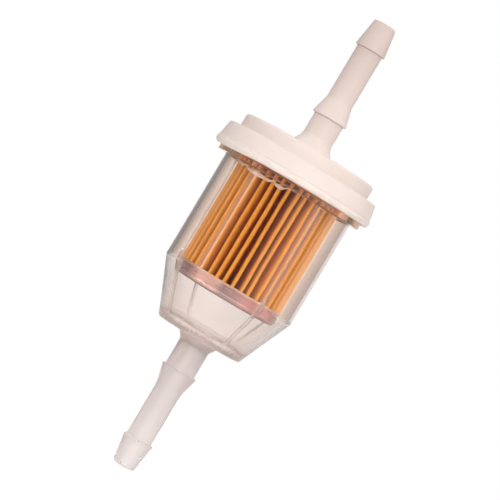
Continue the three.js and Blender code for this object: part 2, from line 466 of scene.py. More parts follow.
@dataclass(frozen=True)
class FilterPaper:
    """Resin-cured amber paper with short fibres and uneven resin, with a painted glow on its outer folds and
    painted shade towards the valleys between its pleats.
    """

    amber: Colour = (0.95, 0.47, 0.06, 1)
    honey: Colour = (0.97, 0.53, 0.09, 1)
    fibre: Colour = (0.85, 0.38, 0.04, 1)
    # deep is a painted shade colour that darkens the paper towards the valleys between its pleats.
    deep: Colour = (0.7, 0.2, 0.008, 1)
    # painted_glow is the colour of a painted glow that brightens the pleats' outer folds.
    painted_glow: Colour = (0.95, 0.42, 0.05, 1)
    valley_shade_radius: float = 10.8
    fold_radius: float = 12.1
    fold_depth: float = 0.4
    fold_glow: float = 0.22
    blotch_size: float = 3.0
    fibre_size: float = 0.22
    fibre_level: float = 0.62
    relief: float = 0.05

    def make(self) -> bpy.types.Material:
        """Builds the material.

        Returns:
            The material.
        """
        graph = Graph(bpy.data.materials.new("filter_paper"))
        blotch = graph.noise(self.blotch_size, 3.0, (1, 1, 0.4))
        fibres = graph.noise(self.fibre_size, 4.0, (1, 1, 0.45))
        resin = graph.between(blotch, self.amber, self.honey)
        reach = graph.reach()
        # Painted glow on the outer folds, beyond the fold radius.
        folded = reach.between(self.fold_radius, self.fold_radius + self.fold_depth)
        # Painted shade: the paper darkens from the fold radius in towards the valleys.
        outer = reach.between(self.valley_shade_radius, self.fold_radius)
        speckled = graph.between(fibres.above(self.fibre_level) * 0.5, resin, self.fibre)
        return graph.surface(
            Base_Color=graph.between(outer, self.deep, speckled),
            Roughness=0.72 + 0.2 * fibres,
            Normal=graph.bump(fibres + blotch, self.relief),
            Emission_Color=graph.between(folded, BLACK, self.painted_glow),
            Emission_Strength=self.fold_glow,
        )


@dataclass(frozen=True)
class PassivatedSteel:
    """Zinc-plated steel under a rose, straw and lilac passivation film, with painted highlights and shade
    round the front, a painted highlight on the lip and painted shade at the heel.
    """

    rose: Colour = (0.76, 0.39, 0.37, 1)
    blush_and_highlight: Colour = (1.0, 0.64, 0.57, 1)
    lilac: Colour = (0.45, 0.27, 0.28, 1)
    plum: Colour = (0.4, 0.19, 0.19, 1)
    sage: Colour = (0.5, 0.44, 0.33, 1)
    # lip is a painted highlight colour along the cup's curled top edge.
    lip: Colour = (0.95, 0.88, 0.66, 1)
    # heel is a painted shade colour along the cup's bottom edge.
    heel: Colour = (0.22, 0.15, 0.13, 1)
    # Round the front these patches are partly the film's own colours and partly painted highlights and shade
    # copied from its reflections; blush_and_highlight is the painted highlight there.
    film_and_painted_light: tuple[tuple[float, str], ...] = (
        (0.0, "sage"),
        (0.06, "lilac"),
        (0.115, "plum"),
        (0.155, "blush_and_highlight"),
        (0.212, "blush_and_highlight"),
        (0.238, "lilac"),
        (0.27, "lilac"),
        (0.3, "rose"),
        (0.35, "rose"),
        (0.42, "rose"),
        (0.46, "sage"),
        (0.53, "rose"),
        (0.6, "blush_and_highlight"),
        (0.68, "lilac"),
        (0.76, "plum"),
        (0.84, "rose"),
        (0.92, "lilac"),
        (1.0, "sage"),
    )
    metal: float = 0.5
    drift: float = 0.03
    stain_size: float = 2.5
    dent_size: float = 1.5
    relief: float = 0.008
    lip_highlight_strength: float = 0.7
    lip_highlight_span: tuple[float, float] = (46.0, 46.5)
    heel_shade_span: tuple[float, float] = (43.95, 43.6)

    def film(self) -> list[tuple[float, Colour]]:
        """Colours of the film round the cup, by share of a turn, partly painted highlights and shade round
        the front.
        """
        return [(place, getattr(self, hue)) for place, hue in self.film_and_painted_light]

    def make(self) -> bpy.types.Material:
        """Builds the material.

        Returns:
            The material.
        """
        graph = Graph(bpy.data.materials.new("passivated_steel"))
        stain = graph.noise(self.stain_size, 2.0, (1, 1, 2.5))
        east, north, _ = graph.axes()
        around = north.bearing(east) + self.drift * (graph.noise(6.0, 1.0, (1, 1, 1.6)) - 0.5)
        height = graph.height()
        # The film's colours, with painted highlights and shade round the front.
        film = graph.ramp(around, self.film())
        # Painted highlight along the lip.
        highlighted = graph.between(height.between(*self.lip_highlight_span) * self.lip_highlight_strength, film, self.lip)
        return graph.surface(
            # Painted shade along the heel.
            Base_Color=graph.between(height.between(*self.heel_shade_span), highlighted, self.heel),
            Metallic=self.metal,
            Roughness=0.2 + 0.2 * stain,
            Normal=graph.bump(graph.noise(self.dent_size, 1.0, (1, 1, 3)), self.relief),
        )


@dataclass(frozen=True)
class CastAdhesive:
    """Potting adhesive, cast and left as it set: pale where it is thin, amber where it is thick, with an
    optional painted glow in its pale colour.
    """

    thin: Colour = (0.97, 0.87, 0.83, 1)
    thick: Colour = (0.93, 0.76, 0.69, 1)
    # painted_glow brightens the adhesive as though lit, in its pale colour.
    painted_glow: float = 0.0
    pool_size: float = 1.6
    translucency: float = 0.3
    scatter: Triple = (1.0, 0.6, 0.35)
    scatter_depth: float = 0.8
    coat: float = 0.4
    relief: float = 0.12

    def make(self) -> bpy.types.Material:
        """Builds the material.

        Returns:
            The material.
        """
        graph = Graph(bpy.data.materials.new("cast_adhesive"))
        pool = graph.noise(self.pool_size, 3.0)
        return graph.surface(
            Base_Color=graph.ramp(pool, [(0.45, self.thin), (0.8, self.thick)]),
            Roughness=0.18 + 0.25 * pool,
            Subsurface_Weight=self.translucency,
            Subsurface_Radius=self.scatter,
            Subsurface_Scale=self.scatter_depth * MM,
            Coat_Weight=self.coat,
            Normal=graph.bump(pool, self.relief),
            # Painted glow in the pale colour.
            Emission_Color=self.thin,
            Emission_Strength=self.painted_glow,
        )


@dataclass(frozen=True)
class TubePlastic:
    """Plain natural plastic of the hidden centre tube."""

    natural: Colour = (0.7, 0.66, 0.58, 1)
    dull: Colour = (0.6, 0.57, 0.52, 1)
    cloud_size: float = 3.0
    grain_size: float = 0.3
    relief: float = 0.01

    def make(self) -> bpy.types.Material:
        """Builds the material.

        Returns:
            The material.
        """
        graph = Graph(bpy.data.materials.new("tube_plastic"))
        cloud = graph.noise(self.cloud_size, 2.0)
        return graph.surface(
            Base_Color=graph.between(cloud, self.natural, self.dull),
            Roughness=0.4 + 0.15 * cloud,
            Normal=graph.bump(graph.noise(self.grain_size, 2.0), self.relief),
        )


# ------------------------------------------------------------------------------------------------
# Modelling helpers
# ------------------------------------------------------------------------------------------------


def clear_selection() -> None:
    """Deselects every object."""
    bpy.ops.object.select_all(action="DESELECT")


def hold(piece: bpy.types.Object) -> None:
    """Makes one object the only selected one, and the active one.

    Args:
        piece: The object.
    """
    clear_selection()
    piece.select_set(True)
    bpy.context.view_layer.objects.active = piece


@contextmanager
def editing(piece: bpy.types.Object) -> Iterator[None]:
    """Puts a piece in edit mode with everything on it selected.

    Args:
        piece: The piece.

    Yields:
        Once, while it is in edit mode.
    """
    hold(piece)
    bpy.ops.object.mode_set(mode="EDIT")
    bpy.ops.mesh.select_all(action="SELECT")
    yield
    bpy.ops.object.mode_set(mode="OBJECT")


def named(name: str) -> bpy.types.Object:
    """Names the new active object and its mesh.

    Args:
        name: Their name.

    Returns:
        The object.
    """
    piece = bpy.context.object
    piece.name = name
    piece.data.name = name
    return piece


def close_up(piece: bpy.types.Object) -> None:
    """Merges doubled points and turns every face outwards.

    Args:
        piece: The piece.
    """
    with editing(piece):
        bpy.ops.mesh.remove_doubles(threshold=MERGE_DISTANCE)
        bpy.ops.mesh.select_all(action="SELECT")
        bpy.ops.mesh.normals_make_consistent(inside=False)


def smooth(piece: bpy.types.Object, sharp_over: float = 35.0) -> None:
    """Shades a piece smooth, but for edges sharper than this many degrees."""
    hold(piece)
    bpy.ops.object.shade_smooth_by_angle(angle=math.radians(sharp_over))


def modify(piece: bpy.types.Object, kind: str, **settings: object) -> None:
    """Adds a modifier and applies it.

    Args:
        piece: The piece.
        kind: The modifier's type.
        settings: Its properties.
    """
    hold(piece)
    modifier = piece.modifiers.new(kind.lower(), kind)
    for key, value in settings.items():
        setattr(modifier, key, value)
    bpy.ops.object.modifier_apply(modifier=modifier.name)


def rounded(corners: Sequence[Triple], steps: int = 5) -> Section:
    """Rounds the corners of a closed section.

    Args:
        corners: Each corner's radius from the axis, height and rounding, in millimetres.
        steps: How many steps each rounded corner takes.

    Returns:
        The outline, each point's radius and height as a complex number.
    """
    outline: Section = []
    for index, (radius, height, rounding) in enumerate(corners):
        here = complex(radius, height)
        if not rounding:
            outline.append(here)
            continue
        back = complex(*corners[index - 1][:2]) - here
        ahead = complex(*corners[(index + 1) % len(corners)][:2]) - here
        half = abs(cmath.phase(ahead / back)) / 2
        cut = min(rounding / math.tan(half), 0.49 * abs(back), 0.49 * abs(ahead))
        bisector = back / abs(back) + ahead / abs(ahead)
        centre = here + bisector / abs(bisector) * cut / math.cos(half)
        start = here + back / abs(back) * cut - centre
        end = here + ahead / abs(ahead) * cut - centre
        turn = cmath.phase(end / start)
        outline += [centre + start * cmath.exp(1j * turn * step / steps) for step in range(steps + 1)]
    return outline


def turned(name: str, section: Section, steps: int = 144) -> bpy.types.Object:
    """Turns a closed section about the filter's axis.

    Args:
        name: The piece's name.
        section: Radii and heights in millimetres; points on the axis close the piece there.
        steps: How many steps the full turn takes.

    Returns:
        The closed piece.
    """
    clear_selection()
    bpy.ops.mesh.primitive_plane_add(size=MM)
    piece = named(name)
    with editing(piece):
        bpy.ops.mesh.merge(type="CENTER")
        bpy.ops.transform.translate(value=(section[0].real * MM, 0, section[0].imag * MM))
        for here, there in zip(section, section[1:] + section[:1]):
            step = (there - here) * MM
            bpy.ops.mesh.extrude_region_move(TRANSFORM_OT_translate={"value": (step.real, 0, step.imag)})
        bpy.ops.mesh.select_all(action="SELECT")
        bpy.ops.mesh.spin(steps=steps, angle=FULL_TURN, center=(0, 0, 0), axis=(0, 0, 1))
    close_up(piece)
    return piece


def reshape(piece: bpy.types.Object, move: Move) -> None:
    """Moves every point of a piece.

    Args:
        piece: The piece.
        move: Takes a point's azimuth, radius and height, in radians and millimetres, to its new ones.
    """
    for vertex in piece.data.vertices:
        azimuth = math.atan2(vertex.co.y, vertex.co.x)
        radius = math.hypot(vertex.co.x, vertex.co.y) / MM
        azimuth, radius, height = move(azimuth, radius, vertex.co.z / MM)
        vertex.co = Vector((radius * math.cos(azimuth), radius * math.sin(azimuth), height)) * MM
    piece.data.update()


def paint(piece: bpy.types.Object, finish: bpy.types.Material) -> None:
    """Gives a piece this one finish."""
    piece.data.materials.clear()
    piece.data.materials.append(finish)


def dress(piece: bpy.types.Object, slot: Slot, *stands_for: str) -> bpy.types.Object:
    """Gives a painted piece its body, and hides the CAD nodes it stands for.

    Args:
        piece: The piece.
        slot: Not used.
        stands_for: The CAD nodes that it replaces.

    Returns:
        The piece.
    """
    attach(piece, BODY)
    if stands_for:
        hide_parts(*stands_for)
    LOG.info("%s: %d faces", piece.name, len(piece.data.polygons))
    return piece


def bulge(azimuth: float, centre: float, width: float) -> float:
    """A smooth hump of height one at an azimuth, all in degrees but the first."""
    apart = (math.degrees(azimuth) - centre + 180) % 360 - 180
    return math.exp(-((apart / width) ** 2))


def ripple(azimuth: float, seed: int, waves: Sequence[int]) -> float:
    """A closed, uneven wave round the axis, about nought and mostly within one."""
    draw = random.Random(seed)
    return sum(math.sin(count * azimuth + draw.uniform(0, FULL_TURN)) / len(waves) ** 0.5 for count in waves)


# ------------------------------------------------------------------------------------------------
# Housing
# ------------------------------------------------------------------------------------------------


@dataclass
class Spigot:
    """A stepped hose barb: a slim shank and a wide one, each behind its barb."""

    end_radius: float = 2.68
    end_rounding: float = 0.4
    bore: float = 1.5
    bore_mouth: float = 0.2
    tip_barb: float = 3.63
    tip_shoulder: float = 6.7
    slim_shank: float = 3.12
    flank_start: float = 20.0
    middle_barb: float = 4.2
    middle_shoulder: float = 24.4
    wide_shank: float = 3.62

    def outline(self) -> list[Triple]:
        """Corners of the outside.

        Returns:
            Each corner's radius, distance from the spigot's end and rounding, in millimetres.
        """
        return [
            (self.end_radius, 0.0, self.end_rounding),
            (self.tip_barb, self.tip_shoulder - 0.3, 0.25),
            (self.tip_barb, self.tip_shoulder, 0.08),
            (self.slim_shank, self.tip_shoulder + 0.1, 0.15),
            (self.slim_shank, self.flank_start, 4.0),
            (self.middle_barb - 0.05, self.middle_shoulder - 0.45, 0.4),
            (self.middle_barb, self.middle_shoulder, 0.06),
            (self.wide_shank, self.middle_shoulder + 0.15, 0.2),
        ]


@dataclass
class ClearBowl:
    """The clear moulding: inlet spigot, conical foot, round body, flange and four locating ribs."""

    spigot: Spigot = field(default_factory=Spigot)
    bottom: float = 32.7
    bottom_radius: float = 10.3
    bend: float = 45.6
    radius: float = 15.95
    wall: float = 0.95
    foot_wall: float = 1.4
    floor: float = 1.2
    flange_bottom: float = 71.45
    neck_height: float = 1.9
    neck_flare: float = 1.25
    floor_rounding: float = 3.5
    sump_flare: float = 1.2
    sump_depth: float = 0.8
    rib_count: int = 4
    rib_azimuth: float = 33.3
    rib_thickness: float = 0.7
    rib_shoulder: float = 49.3
    rib_depth: float = 0.3
    ridge: float = 0.22
    ridge_thickness: float = 0.45

    def section(self) -> Section:
        """Outline of the moulding, from the bore's mouth up the outside and down the inside.

        Returns:
            The rounded outline.
        """
        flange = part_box("bowl")[1] / MM
        inside = self.radius - self.wall
        bore = self.spigot.bore
        floor = self.bottom + self.floor
        wide = self.spigot.wide_shank
        return rounded(
            [
                (bore, 0, self.spigot.bore_mouth),
                *self.spigot.outline(),
                (wide, self.bottom - self.neck_height, 0.6),
                (wide + self.neck_flare, self.bottom, 0.3),
                (self.bottom_radius, self.bottom, 0.55),
                (self.radius, self.bend, 0.5),
                (self.radius, self.flange_bottom, 0.3),
                (flange.x, self.flange_bottom, 0.12),
                (flange.x, flange.z, 0.2),
                (inside, flange.z, 0.2),
                (inside, self.bend + 0.3, 2.0),
                (self.bottom_radius - self.foot_wall, floor, self.floor_rounding),
                (bore + self.sump_flare, floor, 0.3),
                (bore, floor - self.sump_depth, 0.4),
            ]
        )

    def rib(self, name: str, thickness: float, outline: Sequence[tuple[float, float]]) -> bpy.types.Object:
        """A slab in the plane of the axis, extruded to its thickness, at azimuth nought.

        Args:
            name: The slab's name.
            thickness: Its thickness, in millimetres.
            outline: Radius and height of each of its corners, in millimetres.

        Returns:
            The closed slab.
        """
        clear_selection()
        bpy.ops.mesh.primitive_plane_add(size=MM)
        slab = named(name)
        start = outline[0]
        with editing(slab):
            bpy.ops.mesh.merge(type="CENTER")
            bpy.ops.transform.translate(value=(start[0] * MM, -thickness / 2 * MM, start[1] * MM))
            for here, there in zip(outline, outline[1:]):
                step = ((there[0] - here[0]) * MM, 0, (there[1] - here[1]) * MM)
                bpy.ops.mesh.extrude_region_move(TRANSFORM_OT_translate={"value": step})
            bpy.ops.mesh.select_all(action="SELECT")
            bpy.ops.mesh.edge_face_add()
            bpy.ops.mesh.extrude_region_move(TRANSFORM_OT_translate={"value": (0, thickness * MM, 0)})
            bpy.ops.mesh.select_all(action="SELECT")
            bpy.ops.mesh.normals_make_consistent(inside=False)
        return slab

    def locating_rib(self) -> bpy.types.Object:
        """The rib that centres the end cup, from the floor to a pointed shoulder above the bend.

        Its outer edge runs inside the wall, so that the two join.

        Returns:
            The rib.
        """
        inside = self.radius - self.wall
        floor = self.bottom + self.floor
        foot = self.bottom_radius - self.foot_wall
        cup_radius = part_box("lower_end_cup")[1].x / MM
        cup_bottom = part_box("lower_end_cup")[0].z / MM
        outline = [
            (foot + 0.5, floor - 0.4),
            (self.radius - self.foot_wall + 0.4, self.bend),
            (inside + 0.4, self.bend + 1.0),
            (inside + 0.4, self.rib_shoulder + 1.2),
            (cup_radius + 0.25, cup_bottom),
            (foot - self.rib_depth, floor - 0.4),
        ]
        return self.rib("rib", self.rib_thickness, outline)

    def wall_ridge(self) -> bpy.types.Object:
        """The low ridge that carries each rib's line on up the wall.

        Returns:
            The ridge.
        """
        inside = self.radius - self.wall
        top = self.flange_bottom - 0.4
        outline = [
            (inside + 0.3, self.bend + 1.5),
            (inside + 0.3, top),
            (inside - self.ridge, top - 0.3),
            (inside - self.ridge, self.bend + 1.5),
        ]
        return self.rib("ridge", self.ridge_thickness, outline)

    def join(self, bowl: bpy.types.Object, model: bpy.types.Object) -> None:
        """Grows a copy of a rib out of the bowl at each of its places.

        Args:
            bowl: The bowl.
            model: The rib or ridge at azimuth nought, which is used up.
        """
        for index in range(self.rib_count):
            copy = model.copy()
            copy.data = model.data.copy()
            bpy.context.scene.collection.objects.link(copy)
            turn = math.radians(self.rib_azimuth + 360 / self.rib_count * index)
            copy.data.transform(Matrix.Rotation(turn, 4, "Z"))
            modify(bowl, "BOOLEAN", operation="UNION", object=copy, solver="EXACT")
            bpy.data.objects.remove(copy)
        bpy.data.objects.remove(model)

    def build(self) -> bpy.types.Object:
        """Turns the bowl and joins its ribs.

        Returns:
            The bowl.
        """
        bowl = turned("clear_bowl", self.section())
        for rib in (self.locating_rib(), self.wall_ridge()):
            self.join(bowl, rib)
        close_up(bowl)
        smooth(bowl, 28)
        low = complex(self.bottom_radius - self.foot_wall, self.bottom + self.floor)
        high = complex(self.radius - self.wall, self.bend + 0.3)
        paint(bowl, ClearNylon().make(low, high))
        return dress(bowl, Slot.CLEAR, "bowl")


@dataclass
class IvoryCap:
    """The ivory moulding: skirt, raised disc and outlet spigot, with the weld round its skirt."""

    spigot: Spigot = field(default_factory=Spigot)
    skirt_bottom: float = 74.4
    skirt_radius: float = 19.35
    skirt_top_radius: float = 18.72
    rim_top: float = 78.1
    disc_radius: float = 16.3
    disc_top: float = 81.35
    underside: float = 75.2
    collar_radius: float = 13.3
    collar_wall: float = 1.1
    collar_bottom: float = 73.4
    neck: tuple[Triple, ...] = ((1.3, 0.0, 0.2), (1.1, 0.7, 0.4), (0.2, 2.1, 0.9), (0.0, 3.2, 0.9))
    weld_inner: float = 18.2
    weld_margin: float = 0.12
    weld_seed: int = 7

    def section(self) -> Section:
        """Outline of the moulding, from the underside of the bore out, up and back down the bore.

        The neck is where the spigot swells into the disc: how far each of its corners stands out from the
        shank and up from the disc, and its rounding.

        Returns:
            The rounded outline.
        """
        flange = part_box("bowl")[1] / MM
        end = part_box("cap")[1].z / MM
        bore = self.spigot.bore
        wide = self.spigot.wide_shank
        outlet = [(radius, end - along, rounding) for radius, along, rounding in self.spigot.outline()]
        return rounded(
            [
                (bore, self.underside, 0.2),
                (self.collar_radius, self.underside, 0.3),
                (self.collar_radius, self.collar_bottom, 0.2),
                (self.collar_radius + self.collar_wall, self.collar_bottom, 0.2),
                (self.collar_radius + self.collar_wall, flange.z, 0),
                (self.weld_inner, flange.z, 0),
                (self.weld_inner, self.skirt_bottom, 0),
                (self.skirt_radius, self.skirt_bottom, 0),
                (self.skirt_top_radius, self.rim_top, 0.42),
                (self.disc_radius, self.rim_top, 0.22),
                (self.disc_radius, self.disc_top, 0.65),
                *((wide + out, self.disc_top + up, rounding) for out, up, rounding in self.neck),
                *reversed(outlet),
                (bore, end, self.spigot.bore_mouth),
            ]
        )

    def build(self) -> bpy.types.Object:
        """Turns the cap.

        Returns:
            The cap.
        """
        cap = turned("ivory_cap", self.section())
        smooth(cap, 40)
        paint(cap, IvoryNylon().make())
        return dress(cap, Slot.IVORY, "cap")

    def build_weld(self) -> bpy.types.Object:
        """Turns the weld bead, then makes it as uneven as melted plastic sets.

        Returns:
            The bead.
        """
        low, high = (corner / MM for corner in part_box("weld_bead"))
        corners = [
            (self.weld_inner, low.z, 0.1),
            (self.skirt_radius, low.z, 0.5),
            (self.skirt_radius + 0.1, low.z + 0.8, 0.4),
            (self.skirt_radius, high.z, 0.15),
            (self.weld_inner, high.z, 0.1),
        ]
        bead = turned("weld_bead_ring", rounded(corners), 288)
        most = high.x - self.skirt_radius - self.weld_margin

        def set_unevenly(azimuth: float, radius: float, height: float) -> Triple:
            """Swells the bead out at its two sides and lets it sag in one place.

            Args:
                azimuth: A point's azimuth, in radians.
                radius: Its radius, in millimetres.
                height: Its height, in millimetres.

            Returns:
                Its new azimuth, radius and height.
            """
            outer = max(0.0, (radius - self.weld_inner) / (self.skirt_radius - self.weld_inner))
            lower = max(0.0, 1 - (height - low.z) / (high.z - low.z))
            swell = 0.2 + 0.8 * bulge(azimuth, 180, 38) + 0.25 * bulge(azimuth, 0, 30)
            swell += 0.05 * ripple(azimuth, self.weld_seed, (5, 9, 14, 23))
            radius += outer * most * min(1.0, max(0.0, swell)) * math.sin(math.pi * min(1, 0.2 + lower))
            height += 0.1 * outer * lower * (0.7 + 0.4 * ripple(azimuth, self.weld_seed + 1, (3, 4, 7, 17)))
            height -= 0.7 * outer * lower * bulge(azimuth, 212, 28)
            return azimuth, radius, height

        reshape(bead, set_unevenly)
        smooth(bead, 50)
        paint(bead, WeldedNylon().make())
        return dress(bead, Slot.WELD, "weld_bead")


# ------------------------------------------------------------------------------------------------
# Paper element
# ------------------------------------------------------------------------------------------------


@dataclass
class PaperElement:
    """The pleated paper, its end cup, its adhesive and the tube it stands round."""

    pleats: int = 38
    phase: float = 6.83
    tip: float = 12.2
    root: float = 7.7
    fold: float = 0.22
    paper: float = 0.36
    fold_points: int = 5
    flank_points: int = 3
    levels: int = 24
    sink: float = 0.9
    pleat_seed: int = 21
    sway_degrees: float = 0.42
    sway_reach: float = 0.05
    slow_sway: float = 0.21
    quick_sway: float = 0.9
    seam_radius: float = 0.75
    seam_flatness: float = 0.25
    cup_wall: float = 0.3
    cup_floor: float = 0.4
    cup_foot: float = 0.15
    squeeze_drop: float = 1.1
    squeeze_inset: float = 0.4
    squeeze_radius: float = 0.3
    squeeze_rise: float = 1.3
    squeezes: tuple[Triple, ...] = (
        (236, 11, 1.5),
        (224, 6, 0.5),
        (262, 6, 1.3),
        (249, 3, 0.5),
        (205, 8, 0.5),
        (100, 20, 1.2),
    )
    tube_wall: float = 0.6
    tube_rows: int = 5
    tube_holes: int = 6
    tube_hole: float = 1.3
    tube_edge: float = 0.06

    def __post_init__(self) -> None:
        """Reads the element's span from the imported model."""
        low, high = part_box("filter_paper")
        self.bottom, self.top = low.z / MM, high.z / MM

    def pleat_line(self) -> list[tuple[float, float]]:
        """Middle of the folded paper seen from the end, a little uneven.

        Returns:
            Azimuth and radius of each point, in radians and millimetres.
        """
        draw = random.Random(self.pleat_seed)
        step = FULL_TURN / self.pleats
        tips = []
        for pleat in range(self.pleats):
            azimuth = math.radians(self.phase) + step * (pleat + draw.uniform(-0.09, 0.09))
            tips.append((azimuth, self.tip + draw.uniform(-0.12, 0.06)))
        line = []
        for index, (azimuth, radius) in enumerate(tips):
            following = tips[(index + 1) % self.pleats][0] + (FULL_TURN if index + 1 == self.pleats else 0)
            valley = (azimuth + following) / 2 + step * draw.uniform(-0.05, 0.05)
            line += self.bend_round(azimuth, radius, 1)
            line += self.flank(azimuth, radius, valley, 1)
            line += self.bend_round(valley, self.root, -1)
            line += self.flank(following, tips[(index + 1) % self.pleats][1], valley, -1)
        return line

    def bend_round(self, azimuth: float, radius: float, outward: int) -> list[tuple[float, float]]:
        """Points round one fold.

        Args:
            azimuth: The fold's azimuth, in radians.
            radius: Its radius, in millimetres.
            outward: One at a tip, minus one at a root.

        Returns:
            Azimuth and radius of each point.
        """
        points = []
        for index in range(self.fold_points):
            share = 2 * index / (self.fold_points - 1) - 1
            side = self.fold * math.sin(share * math.pi / 2)
            rise = outward * self.fold * math.cos(share * math.pi / 2)
            points.append((azimuth + side / radius, radius + rise))
        return points

    def flank(self, tip: float, tip_radius: float, valley: float, side: int) -> list[tuple[float, float]]:
        """Points down a pleat's side, or up the next one's.

        Args:
            tip: Azimuth of the pleat's tip, in radians.
            tip_radius: Its radius, in millimetres.
            valley: Azimuth of the root that the side runs to or from.
            side: One for a side that runs down from the tip, minus one for one that runs up to it.

        Returns:
            Azimuth and radius of each point.
        """
        points = []
        for index in range(1, self.flank_points + 1):
            share = index / (self.flank_points + 1)
            if side < 0:
                share = 1 - share
            start = tip + side * self.fold / tip_radius
            end = valley - side * self.fold / self.root
            radius = tip_radius + (self.root - tip_radius) * share
            chord = start * tip_radius * (1 - share) + end * self.root * share
            spread = tip_radius * (1 - share) + self.root * share
            points.append((chord / spread, radius))
        return points

    def build_paper(self, finish: bpy.types.Material) -> bpy.types.Object:
        """Folds a ring into pleats, draws it up in levels, lets it waver and gives it thickness.

        Args:
            finish: The paper's material.

        Returns:
            The paper.
        """
        line = self.pleat_line()
        clear_selection()
        bpy.ops.mesh.primitive_circle_add(vertices=len(line), radius=self.tip * MM)
        paper = named("pleated_paper")
        bottom = self.bottom - self.sink
        for vertex, (azimuth, radius) in zip(paper.data.vertices, line):
            place = Vector((radius * math.cos(azimuth), radius * math.sin(azimuth), bottom))
            vertex.co = place * MM
        rise = (self.top + self.sink - bottom) / self.levels
        with editing(paper):
            for _ in range(self.levels):
                bpy.ops.mesh.extrude_region_move(TRANSFORM_OT_translate={"value": (0, 0, rise * MM)})
        draw = random.Random(self.pleat_seed + 1)
        sway = [(draw.uniform(0, FULL_TURN), draw.uniform(0.4, 1.0)) for _ in range(self.pleats)]

        def waver(azimuth: float, radius: float, height: float) -> Triple:
            """Leans each pleat a little to and fro up its height, most at its tip.

            Args:
                azimuth: A point's azimuth, in radians.
                radius: Its radius, in millimetres.
                height: Its height, in millimetres.

            Returns:
                Its new azimuth, radius and height.
            """
            pleat = int((azimuth % FULL_TURN) / FULL_TURN * self.pleats) % self.pleats
            place = (azimuth % FULL_TURN) / FULL_TURN * self.pleats - pleat
            lean = 0.0
            for index, share in ((pleat, 1 - place), ((pleat + 1) % self.pleats, place)):
                start, size = sway[index]
                lean += share * size * math.sin(start + (height - self.bottom) * self.slow_sway)
                lean += share * 0.25 * math.sin(3 * start + height * self.quick_sway)
            outer = (radius - self.root) / (self.tip - self.root)
            turn = math.radians(self.sway_degrees) * lean * outer
            return azimuth + turn, radius + self.sway_reach * lean * outer, height

        reshape(paper, waver)
        close_up(paper)
        modify(paper, "SOLIDIFY", thickness=self.paper * MM, offset=0.0)
        smooth(paper, 60)
        paint(paper, finish)
        return dress(paper, Slot.PAPER, "filter_paper")

    def build_seam(self, finish: bpy.types.Material) -> bpy.types.Object:
        """Runs a bead of glue up the valley where the paper's ends meet.

        Args:
            finish: The glue's material.

        Returns:
            The bead.
        """
        low, high = (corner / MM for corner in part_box("paper_seam"))
        centre = (low + high) / 2
        clear_selection()
        bpy.ops.mesh.primitive_cylinder_add(
            vertices=16,
            radius=self.seam_radius * MM,
            depth=(high.z - low.z) * MM,
            location=centre * MM,
            end_fill_type="NGON",
        )
        seam = named("seam_glue")
        bpy.ops.object.transform_apply(location=True, rotation=False, scale=False)
        with editing(seam):
            bpy.ops.mesh.subdivide(number_cuts=24, smoothness=0)
        turn = math.atan2(centre.y, centre.x)
        draw = random.Random(self.pleat_seed + 2)
        waves = [(draw.uniform(0.5, 2.4), draw.uniform(0, FULL_TURN)) for _ in range(5)]
        for vertex in seam.data.vertices:
            away = vertex.co.xy / MM - centre.xy
            along = away.x * math.cos(turn) + away.y * math.sin(turn)
            across = (away.y * math.cos(turn) - away.x * math.sin(turn)) * self.seam_flatness
            lump = 1 + 0.12 * sum(math.sin(rate * vertex.co.z / MM + start) for rate, start in waves)
            along, across = along * lump, across * lump
            vertex.co.x = (centre.x + along * math.cos(turn) - across * math.sin(turn)) * MM
            vertex.co.y = (centre.y + along * math.sin(turn) + across * math.cos(turn)) * MM
        close_up(seam)
        smooth(seam, 50)
        paint(seam, finish)
        return dress(seam, Slot.ADHESIVE, "paper_seam")

    def build_cup(self, finish: bpy.types.Material) -> bpy.types.Object:
        """Presses the steel end cup, with a rounded heel and a curled lip.

        Args:
            finish: The steel's material.

        Returns:
            The cup.
        """
        low, high = (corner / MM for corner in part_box("lower_end_cup"))
        inside = high.x - self.cup_wall
        heel, side, liner = high.x - 0.18, high.x - 0.15, inside - 0.12
        foot = low.z + self.cup_foot
        lip = 0.12
        corners = [
            (0, low.z, 0),
            (high.x - 1.6, low.z, 0.3),
            (high.x - 1.2, foot, 0.3),
            (heel, foot, 0.5),
            (heel, low.z + 0.6, 0.1),
            (high.x, low.z + 0.85, 0.2),
            (side, low.z + 1.15, 0.2),
            (side, high.z - 0.75, 0.5),
            (high.x, high.z - 0.4, 0.2),
            (high.x, high.z, lip),
            (inside, high.z, lip),
            (liner, high.z - 0.7, 0.4),
            (liner, foot + self.cup_floor, 0.5),
            (0, low.z + self.cup_floor, 0),
        ]
        cup = turned("steel_end_cup", rounded(corners), 192)
        smooth(cup, 40)
        paint(cup, finish)
        return dress(cup, Slot.STEEL, "lower_end_cup")

    def build_lower_potting(self, finish: bpy.types.Material) -> bpy.types.Object:
        """Pours the adhesive into the cup, where it climbs the wall and the pleats.

        Args:
            finish: The adhesive's material.

        Returns:
            The adhesive.
        """
        low, high = (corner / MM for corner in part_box("lower_potting"))
        edge = high.x - 0.2
        corners = [
            (0, low.z, 0),
            (edge, low.z, 0.3),
            (edge, high.z, 0.1),
            (edge - 0.6, high.z - 0.25, 0.5),
            (self.root, high.z - 0.1, 0.4),
            (0, high.z - 0.3, 0),
        ]
        pool = turned("lower_adhesive", rounded(corners), 96)

        def settle(azimuth: float, radius: float, height: float) -> Triple:
            """Lets the top set in low waves, no higher than the CAD node.

            Args:
                azimuth: A point's azimuth, in radians.
                radius: Its radius, in millimetres.
                height: Its height, in millimetres.

            Returns:
                Its new azimuth, radius and height.
            """
            top = max(0.0, (height - low.z) / (high.z - low.z))
            dip = 0.06 * top * ripple(azimuth + 0.2 * radius, self.pleat_seed + 3, (4, 7, 11))
            return azimuth, radius, min(height + dip, high.z)

